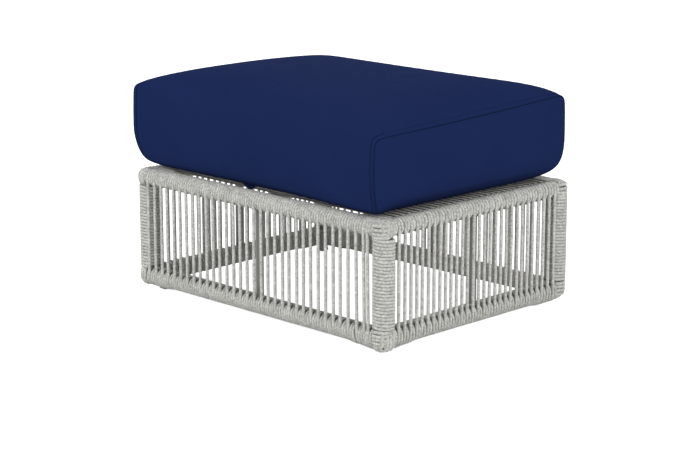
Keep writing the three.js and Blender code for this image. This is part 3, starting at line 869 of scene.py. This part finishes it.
def blow_up(rings, seam_rows):
    """Cloth simulation of the filled cover with its end seams held. Returns the moved rings."""
    rows, columns, _ = rings.shape
    points = with_middles(rings)
    trial = mesh_object("cover_trial", points, closed_faces(rows, columns))
    held = trial.vertex_groups.new(name="held")
    held.add(list(range(len(points))), PANEL_HOLD, "REPLACE")
    for row in seam_rows:
        held.add(list(range(row * columns, (row + 1) * columns)), 1.0, "REPLACE")
    ends = [*range(seam_rows[0] * columns), *range((seam_rows[1] + 1) * columns, len(points))]
    held.add(ends, END_HOLD, "REPLACE")
    cloth = trial.modifiers.new("cloth", "CLOTH")
    for key, value in CLOTH.items():
        setattr(cloth.settings, key, value)
    cloth.settings.effector_weights.gravity = 0
    cloth.point_cache.frame_start = 1
    cloth.point_cache.frame_end = CLOTH_FRAMES
    scene = bpy.context.scene
    for number in range(1, CLOTH_FRAMES + 1):
        scene.frame_set(number)
    evaluated = trial.evaluated_get(bpy.context.evaluated_depsgraph_get())
    moved = np.empty(len(points) * 3)
    evaluated.data.vertices.foreach_get("co", moved)
    scene.frame_set(1)
    bpy.data.objects.remove(trial)
    return moved.reshape(-1, 3)[:rows * columns].reshape(rows, columns, 3)


def spline_rows(rings, at):
    """Rows of a grid at fractional row numbers, by Catmull-Rom splines."""
    last = len(rings) - 1
    start = np.clip(np.floor(at).astype(int), 0, last - 1)
    share = (at - start)[:, None, None]
    before = rings[np.maximum(start - 1, 0)]
    here, there = rings[start], rings[start + 1]
    after = rings[np.minimum(start + 2, last)]
    return 0.5 * (2 * here + (there - before) * share
                  + (2 * before - 5 * here + 4 * there - after) * share ** 2
                  + (3 * here - before - 3 * there + after) * share ** 3)


def finer_columns(rings, times):
    wrapped = np.concatenate([rings[:, -2:], rings, rings[:, :3]], axis=1).transpose(1, 0, 2)
    at = 2 + np.arange(rings.shape[1] * times) / times
    return spline_rows(wrapped, at).transpose(1, 0, 2)


def rows_at_distances(rings, distances):
    """Fractional row numbers at the given distances along the grid from its first row."""
    return np.interp(distances, running_length(rings), np.arange(len(rings)))


def grid_normals(rings):
    """Outward normals of a grid of rings round a closed body that lies along X."""
    along = np.gradient(rings, axis=0)
    around = np.roll(rings, -1, axis=1) - np.roll(rings, 1, axis=1)
    return unit(np.cross(around, along))


# Rows of points of the long panel and of the end panels, by their distance from the end seam
SEAM_STEPS = (0.0005, 0.0010, 0.0016, 0.0024, 0.0034, 0.0046, 0.0060, 0.0074, 0.0084, 0.0090, 0.0094, 0.0098,
              0.0102, 0.0106, 0.0112, 0.0122, 0.0138, 0.0160, 0.0195, 0.0245, 0.0300)
END_STEPS = (0.0005, 0.0011, 0.0018, 0.0028, 0.0042, 0.006, 0.009, 0.013, 0.018)
STITCH_LINE = 0.0098  # from the end seam to the topstitching
STITCH_PITCH = 0.0037
STITCH_RINGS = 5
STITCH_SIDES = 6


def bell(distance, middle, width):
    return np.exp(-((distance - middle) / width) ** 2)


def seam_groove(distance, welt_place, welt_width):
    """The groove at an end seam and the padded welt beside it."""
    return 0.0006 * bell(distance, welt_place, welt_width) - 0.0018 * bell(distance, 0, 0.0012)


def seam_relief(distance, around, drawn):
    """How far the long panel stands out at a distance from its end seam: the groove and welt, and
    the pulled-in line of topstitching, which is drawn in less on top."""
    pull = (1 + 0.25 * np.cos(2 * math.pi * around / STITCH_PITCH / 3)) * drawn
    relief = seam_groove(distance, 0.0045, 0.0028) - 0.0011 * pull * bell(distance, STITCH_LINE, 0.0009)
    return relief + 0.0004 * bell(distance, 0.0150, 0.0035)


def painted_seam_shade(distance, drawn):
    """How much painted shade lies on a point in a seam or a stitched line, from 0 to 1, for the fabric's
    colour.
    """
    return np.clip(bell(distance, 0, 0.0015) + 0.9 * drawn * bell(distance, STITCH_LINE, 0.0010), 0, 1)


def add_threads(name, path, normals, material):
    """A row of stitches along a closed line."""
    path = np.concatenate([path, path[:1]])
    normals = np.concatenate([normals, normals[:1]])
    length = running_length(path)

    def at(distance, values):
        return np.array([np.interp(distance, length, values[:, i]) for i in range(3)])

    count = int(length[-1] / STITCH_PITCH)
    points, faces = [], []
    for stitch in range(count):
        faces += bar_faces(STITCH_RINGS, STITCH_SIDES, len(points))
        for ring in range(STITCH_RINGS):
            share = ring / (STITCH_RINGS - 1)
            distance = stitch * length[-1] / count + (0.05 + 0.74 * share) * STITCH_PITCH
            here = at(distance, path)
            out = unit(at(distance, normals))
            side = unit(np.cross(out, at(distance + 0.0005, path) - here))
            lift = 0.0005 * math.sin(math.pi * (0.15 + 0.7 * share))
            radius = 0.00034 if 0 < share < 1 else 0.00016
            for corner in range(STITCH_SIDES):
                angle = corner * 2 * math.pi / STITCH_SIDES
                up = lift + radius * math.sin(angle)
                points.append(here + out * up + side * radius * math.cos(angle))
    finished(name, points, faces, material, "cushion", "cover")


ZIP_Y = 0.137
ZIP_HALF = 0.262
SLOT_HALF, SLOT_DEPTH, SLOT_SLOPE = 0.0085, 0.0032, 0.004
COIL_PITCH = 0.0021
SLIDER_X = 0.248


def zip_groove(points):
    """Raises the underside over the zip, so that the zip lies in a shallow slot of the cover."""
    x, y, z = points[..., 0], points[..., 1], points[..., 2]
    across = np.clip((SLOT_HALF - np.abs(y - ZIP_Y)) / SLOT_SLOPE, 0, 1)
    along = np.clip((ZIP_HALF + SLOT_SLOPE - np.abs(x)) / SLOT_SLOPE, 0, 1)
    under = (z < CUSHION_BASE + 0.02).astype(float)
    lift = SLOT_DEPTH * across * along * under
    return points + np.stack([0 * lift, 0 * lift, lift], -1)


SIM_INSET = 0.0008  # the cover starts this much smaller, because the simulation makes it swell
SIM_REACH = 0.018  # most that the simulation may move a point
PANEL_ROWS = 94  # of the long panel between the rows beside its seams
CORE_INSET = 0.004
CORE_SCALE = (0.975, 0.965, 0.94)
CORE_CLEARANCE = 0.005


def add_cushion(fabric, thread, foam):
    """The cover with its seams and topstitching, and the foam inside it."""
    even = np.linspace(-1, 1, 61)
    stations = np.sin(even * math.pi / 2) * 0.5 + even * 0.5
    shares = np.array([0.08, 0.24, 0.4, 0.56, 0.7, 0.82, 0.90, 0.95, 0.98])
    turn = section_turns(200)
    rings = cover_rings(stations, shares, turn, SIM_INSET)
    first_seam, last_seam = len(shares), len(shares) + len(stations) - 1
    shift = blow_up(rings, [first_seam, last_seam]) - rings
    size = np.linalg.norm(shift, axis=-1, keepdims=True)
    rings = rings + shift * np.minimum(1, SIM_REACH / np.maximum(size, 1e-9))
    rings = finer_columns(settle(rings), 3)

    body = rings[first_seam:last_seam + 1]
    length = running_length(body)[-1]
    near = np.array([0.0, *SEAM_STEPS])
    middle = np.linspace(SEAM_STEPS[-1], length - SEAM_STEPS[-1], PANEL_ROWS + 2)[1:-1]
    distances = np.concatenate([near, middle, length - near[::-1]])
    body = spline_rows(body, rows_at_distances(body, distances))
    normals = grid_normals(body)
    seam = body[-1]
    around = running_length(seam)
    from_seam = np.minimum(distances, length - distances)[:, None]
    on_top = seam[:, 2] > CUSHION_BASE + EDGE_HEIGHT / 2
    near_edge = np.clip((np.abs(seam[:, 1]) - 0.245) / 0.02, 0, 1)
    drawn = np.where(on_top, 0.12 + 0.88 * near_edge, 1)[None, :]
    body = body + normals * seam_relief(from_seam, around, drawn)[..., None]

    panels = []
    for sign, rows in ((-1, rings[:first_seam + 1]), (1, rings[last_seam:][::-1])):
        reach = running_length(rows)[-1]
        away = np.concatenate([END_STEPS, np.linspace(0.024, reach - 0.002, 21)])[::-1]
        panel = spline_rows(rows, rows_at_distances(rows, reach - away))
        panel[..., 0] += sign * seam_groove(away, 0.0040, 0.0022)[:, None]
        panels.append(panel)
    skin = zip_groove(np.concatenate([panels[0], body, panels[1][::-1]]))
    cover = finished("cushion_soft", with_middles(skin), closed_faces(*skin.shape[:2]), fabric, "cushion",
                     "cover", "cushion_cover")
    # Painted shade in the end seams and along the stitched lines, and on the lower edge below.
    end_shade = painted_seam_shade(away[:, None], 0 * drawn)
    shade = np.concatenate([end_shade, painted_seam_shade(from_seam, drawn), end_shade[::-1]])
    under = np.clip((-grid_normals(skin)[..., 2] - 0.55) / 0.4, 0, 1) * (skin[..., 2] < CUSHION_BASE + 0.03)
    shade = np.maximum(shade, 0.6 * under)  # painted shade on the lower edge, which faces down close over the rope
    set_painted_shade(cover, np.append(shade.reshape(-1), [0, 0]))

    stitch_row = 1 + SEAM_STEPS.index(STITCH_LINE)
    for name, row in (("left", stitch_row), ("right", -1 - stitch_row)):
        add_threads("cushion_topstitch_" + name, body[row], normals[row], thread)

    core = cover_rings(np.linspace(-1, 1, 21), shares, turn[::4], CORE_INSET)
    core = settle((core - (0, 0, EDGE_HEIGHT / 2)) * CORE_SCALE + (0, 0, EDGE_HEIGHT / 2))
    core[..., 2] = np.maximum(core[..., 2], CUSHION_BASE + CORE_CLEARANCE)
    finished("cushion_foam", with_middles(core), closed_faces(*core.shape[:2]), foam, "cushion",
             "foam", "cushion_core")


def add_zip(material):
    """A coil zip in its slot: a tape on each side, two rows of coils and a slider."""
    z = CUSHION_BASE + 0.0022
    points, faces = [], []

    def add_bar(rings, flipped=False):
        for face in bar_faces(len(rings), len(rings[0]), len(points)):
            faces.append(face[::-1] if flipped else face)
        for ring in rings:
            points.extend(ring)

    half = ZIP_HALF - 0.001
    for side in (-1, 1):
        low_y, high_y = sorted((ZIP_Y + side * 0.0002, ZIP_Y + side * 0.0068))
        section = ((low_y, z), (high_y, z), (high_y, z + 0.0005), (low_y, z + 0.0005))
        add_bar([[(x, y, height) for y, height in section] for x in np.linspace(-half, half, 27)])
    coils = int(2 * ZIP_HALF / COIL_PITCH)
    for side in (-1, 1):
        for coil in range(coils):
            x = -ZIP_HALF + 0.002 + coil * (2 * ZIP_HALF - 0.004) / coils + (0.0005 if side > 0 else 0)
            rings = []
            for share in (0, 1 / 3, 2 / 3, 1):
                y = ZIP_Y + side * (-0.0006 + 0.0032 * share)
                low = z - 0.0002 - 0.0007 * math.sin(math.pi * (0.2 + 0.6 * share))
                rings.append([(x - 0.00045, y, z), (x + 0.00045, y, z),
                              (x + 0.0003, y, low), (x - 0.0003, y, low)])
            add_bar(rings, flipped=side < 0)
    outline = rounded_square(0.0042, 0.0018)
    levels = ((z - 0.0014, 0.8), (z - 0.0010, 1.0), (z + 0.0002, 1.0))
    add_bar([[(SLIDER_X + 1.35 * px * size, ZIP_Y + py * size, height) for px, py in outline]
             for height, size in levels])
    finished("cushion_zip_coil", points, faces, material, "cushion", "zip", "cushion_zip", smooth=False)


TIE_SIDES = 28
TIE_HALF_WIDTH, TIE_GATHERED = 0.0215, 0.0185  # at the cushion, and how much of it is gathered in
TIE_SHIFT = 0.013  # of the tie from the middle of its solid


def add_tie(name, replaced, side, material):
    """A webbing tie that comes out from under the cushion and tucks down beside the first deck rope,
    gathered towards its end."""
    low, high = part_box(replaced)
    middle_x, middle_y = (low.x + high.x) / 2 - TIE_SHIFT, (low.y + high.y) / 2
    rings = []
    for share in np.linspace(0, 1, 15):
        z = high.z + 0.004 + (low.z - high.z) * share
        width = TIE_HALF_WIDTH - TIE_GATHERED * max(0, (share - 0.42) / 0.58)
        curve = 0.0012 * math.sin(share * math.pi * 1.3)
        turn = circle(TIE_SIDES)
        x = middle_x + width * np.sign(np.cos(turn)) * np.abs(np.cos(turn)) ** 0.3 + 0.001 * share
        fold = 0.0009 * share * np.cos((x - middle_x) / 0.0016)
        y = middle_y + side * curve + fold + 0.0009 * np.sign(np.sin(turn)) * np.abs(np.sin(turn)) ** 0.5
        rings.append(np.stack([x, y, np.full_like(x, z)], -1))
    faces = bar_faces(len(rings), TIE_SIDES)
    finished(name, np.concatenate(rings[::-1]), faces, material, "cushion", "cover", replaced)


# Scene

add_camera()
add_stage()
add_world()
area_light("key", (-1.7, -3.7, 2.3), 38)
area_light("fill", (3.9, -1.2, 2.2), 44)

rope_finish = rope_material()
tube_finish = tube_material()
glide_finish = glide_material()
fabric = woven_material("navy_cover", srgb(24, 37, 78), srgb(35, 50, 97), 0.0009, 0.92)
zip_finish = woven_material("zip_tape", srgb(18, 24, 48), srgb(30, 40, 76), 0.0012, 0.6)
thread_finish = woven_material("navy_thread", srgb(30, 42, 82), srgb(44, 60, 112), 0.0004, 0.6)
foam_finish = foam_material()

finishes = (("rope_", rope_finish), ("foot_glide", glide_finish), ("cushion_core", foam_finish),
            ("cushion_zip", zip_finish), ("cushion_", fabric), ("", tube_finish))
for node_name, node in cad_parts.items():
    node.data.materials.clear()
    node.data.materials.append(next(finish for start, finish in finishes if node_name.startswith(start)))

add_panels(rope_finish)
add_deck(rope_finish)
add_windings(rope_finish)
for side_name in ("front", "back", "left", "right"):
    add_round_bar("mid_post_round_" + side_name, "mid_post_" + side_name, 2, tube_finish)
add_round_bar("deck_bar_round", "deck_bar", 1, tube_finish)
add_feet(tube_finish, glide_finish)
add_cushion(fabric, thread_finish, foam_finish)
add_zip(zip_finish)
add_tie("cushion_tie_webbing_front", "cushion_tie_front", -1, fabric)
add_tie("cushion_tie_webbing_back", "cushion_tie_back", 1, fabric)

bpy.context.scene.view_settings.view_transform = "Standard"
